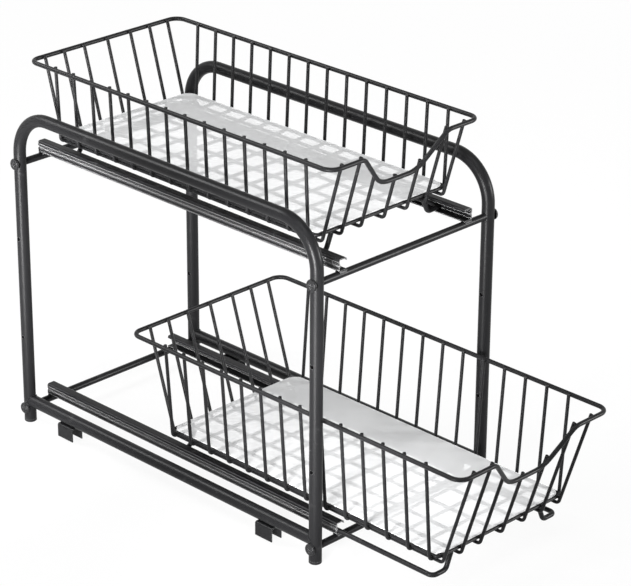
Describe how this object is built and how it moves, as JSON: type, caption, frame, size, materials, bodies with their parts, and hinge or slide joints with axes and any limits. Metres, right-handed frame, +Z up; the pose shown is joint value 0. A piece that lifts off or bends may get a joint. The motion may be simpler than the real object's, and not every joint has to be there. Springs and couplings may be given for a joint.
{
  "type": "under sink organizer",
  "caption": "Two-tier under-sink organizer: tube side frames joined by crossbars carry rails on which flared wire baskets with plastic liners slide out.",
  "frame": {"origin": "on the floor under the middle of the outline, with the lower basket pulled out as in the picture; the middle between the four feet lies 84.0 mm behind it", "axes": "+Z up, -Y the way the baskets pull out, +X to the right seen from the front"},
  "size_m": [0.255, 0.61, 0.4021],
  "materials": {
    "powder_coated_steel": "satin black powder coat",
    "powder_coated_wire": "satin black powder coat",
    "bolt_steel": "black coated",
    "foot_plastic": "matte",
    "liner_plastic": "frosted translucent"
  },
  "bodies": {
    "frame": {"left_side_frame": "powder_coated_steel", "right_side_frame": "powder_coated_steel", "left_bottom_tube": "powder_coated_steel", "right_bottom_tube": "powder_coated_steel", "lower_front_crossbar": "powder_coated_steel", "lower_rear_crossbar": "powder_coated_steel", "upper_front_crossbar": "powder_coated_steel", "upper_rear_crossbar": "powder_coated_steel", "lower_left_rail": "powder_coated_steel", "lower_right_rail": "powder_coated_steel", "upper_left_rail": "powder_coated_steel", "upper_right_rail": "powder_coated_steel", "lower_bar_bolts": "bolt_steel", "upper_bar_bolts": "bolt_steel", "foot_caps": "foot_plastic", "left_saddle_clips": "powder_coated_steel", "right_saddle_clips": "powder_coated_steel"},
    "upper_basket": {"upper_basket_rim": "powder_coated_wire", "upper_basket_base_ring": "powder_coated_wire", "upper_basket_cross_wires": "powder_coated_wire", "upper_basket_long_wires": "powder_coated_wire", "upper_basket_left_runner": "powder_coated_wire", "upper_basket_right_runner": "powder_coated_wire", "upper_basket_liner": "liner_plastic"},
    "lower_basket": {"lower_basket_rim": "powder_coated_wire", "lower_basket_base_ring": "powder_coated_wire", "lower_basket_cross_wires": "powder_coated_wire", "lower_basket_long_wires": "powder_coated_wire", "lower_basket_left_runner": "powder_coated_wire", "lower_basket_right_runner": "powder_coated_wire", "lower_basket_liner": "liner_plastic"}
  },
  "joints": [
    {"name": "upper_basket_slide", "type": "slide", "parent": "frame", "child": "upper_basket", "axis": [0, -1, 0], "range_m": [0, 0.2]},
    {"name": "lower_basket_slide", "type": "slide", "parent": "frame", "child": "lower_basket", "axis": [0, -1, 0], "range_m": [-0.162, 0.038]}
  ]
}
